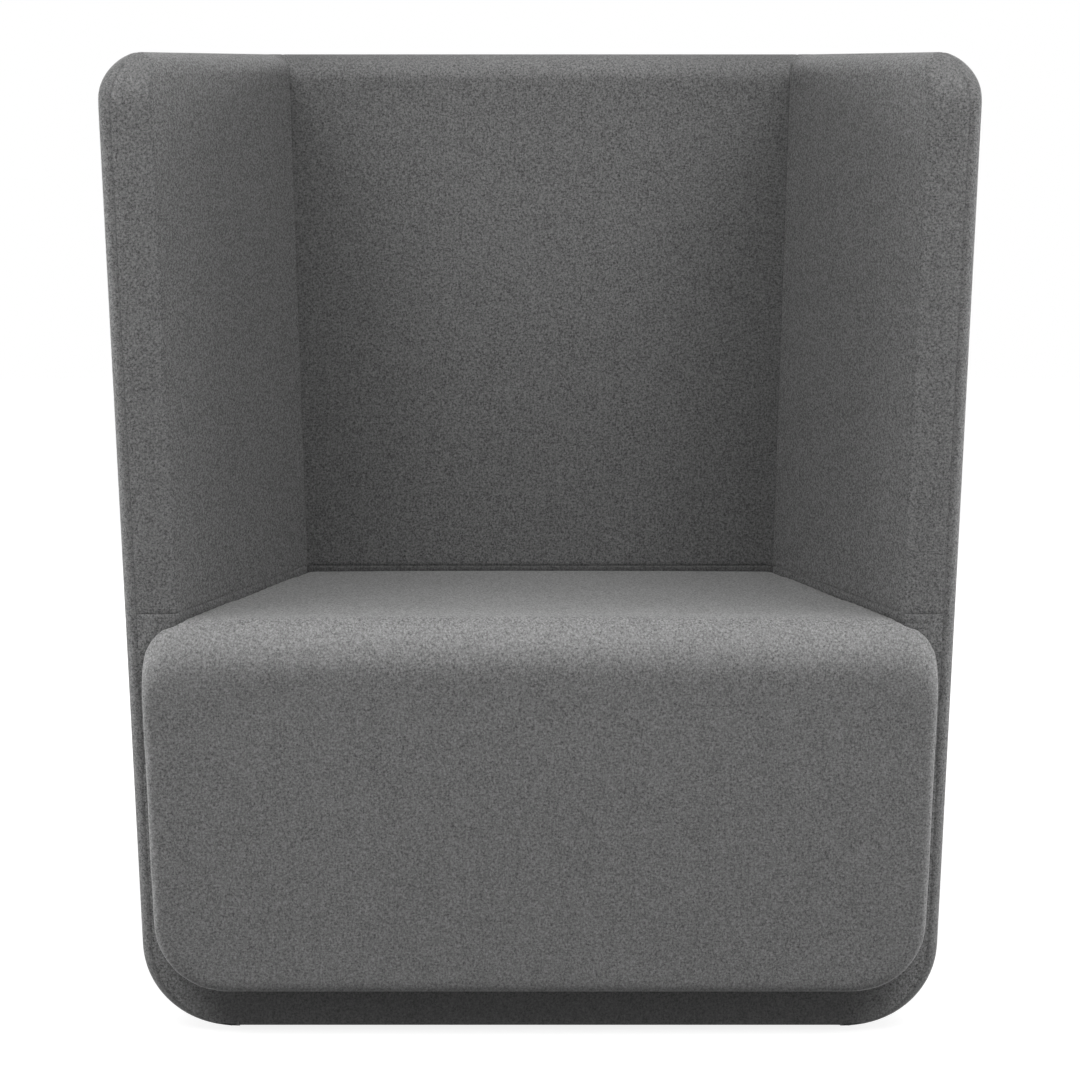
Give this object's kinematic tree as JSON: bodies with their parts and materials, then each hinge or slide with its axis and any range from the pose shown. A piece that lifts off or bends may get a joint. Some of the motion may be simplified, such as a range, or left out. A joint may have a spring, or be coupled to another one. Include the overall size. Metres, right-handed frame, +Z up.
{
  "type": "acoustic high back lounge chair",
  "caption": "High back acoustic lounge chair with splayed upholstered wings, a wide seat block and screw levelling glides.",
  "frame": {"origin": "on the floor, under the middle of the chair's overall box", "axes": "+X to the sitter's left, which is the viewer's right from the front; +Y to the back; +Z up"},
  "size_m": [0.9564, 0.688, 1.079],
  "materials": {
    "felt": "heathered wool felt",
    "foam": "open cell foam",
    "absorber": "pressed fibre",
    "plywood": "raw birch ply",
    "timber": "planed",
    "under_cloth": "matt",
    "webbing": "woven",
    "zinc_steel": "zinc plated",
    "glide_plastic": "moulded"
  },
  "bodies": {
    "chair": {"base_board": "plywood", "left_wing_board": "plywood", "right_wing_board": "plywood", "back_board": "plywood", "seat_front_board": "plywood", "base_front_rail": "timber", "base_cross_rail": "timber", "base_back_rail": "timber", "base_left_rail": "timber", "base_right_rail": "timber", "left_corner_former": "timber", "right_corner_former": "timber", "left_corner_post": "timber", "right_corner_post": "timber", "seat_left_rail": "timber", "seat_right_rail": "timber", "seat_back_rail": "timber", "left_wing_core": "absorber", "right_wing_core": "absorber", "back_core": "absorber", "left_wing_outer_foam": "foam", "right_wing_outer_foam": "foam", "back_outer_foam": "foam", "left_wing_inner_foam": "foam", "right_wing_inner_foam": "foam", "back_inner_foam": "foam", "seat_base_foam": "foam", "seat_top_foam": "foam", "seat_nose_foam": "foam", "left_wing_cover": "felt", "right_wing_cover": "felt", "back_cover": "felt", "left_lining_cover": "felt", "right_lining_cover": "felt", "back_lining_cover": "felt", "left_outer_cover": "felt", "right_outer_cover": "felt", "back_outer_cover": "felt", "base_front_cover": "felt", "seat_cover": "felt", "base_dust_cover": "under_cloth", "seat_under_cloth": "under_cloth", "seat_straps": "webbing", "seat_cross_straps": "webbing", "shell_bolts": "zinc_steel", "shell_tee_nuts": "zinc_steel", "glide_tee_nuts": "zinc_steel", "seat_bolts": "zinc_steel", "seat_tee_nuts": "zinc_steel"},
    "front_left_glide_body": {"front_left_glide": "glide_plastic"},
    "front_right_glide_body": {"front_right_glide": "glide_plastic"},
    "rear_left_glide_body": {"rear_left_glide": "glide_plastic"},
    "rear_right_glide_body": {"rear_right_glide": "glide_plastic"}
  },
  "joints": [
    {"name": "front_left_glide_screw", "type": "slide", "parent": "chair", "child": "front_left_glide_body", "axis": [0, 0, -1], "range_m": [0, 0.012]},
    {"name": "front_right_glide_screw", "type": "slide", "parent": "chair", "child": "front_right_glide_body", "axis": [0, 0, -1], "range_m": [0, 0.012]},
    {"name": "rear_left_glide_screw", "type": "slide", "parent": "chair", "child": "rear_left_glide_body", "axis": [0, 0, -1], "range_m": [0, 0.012]},
    {"name": "rear_right_glide_screw", "type": "slide", "parent": "chair", "child": "rear_right_glide_body", "axis": [0, 0, -1], "range_m": [0, 0.012]}
  ]
}
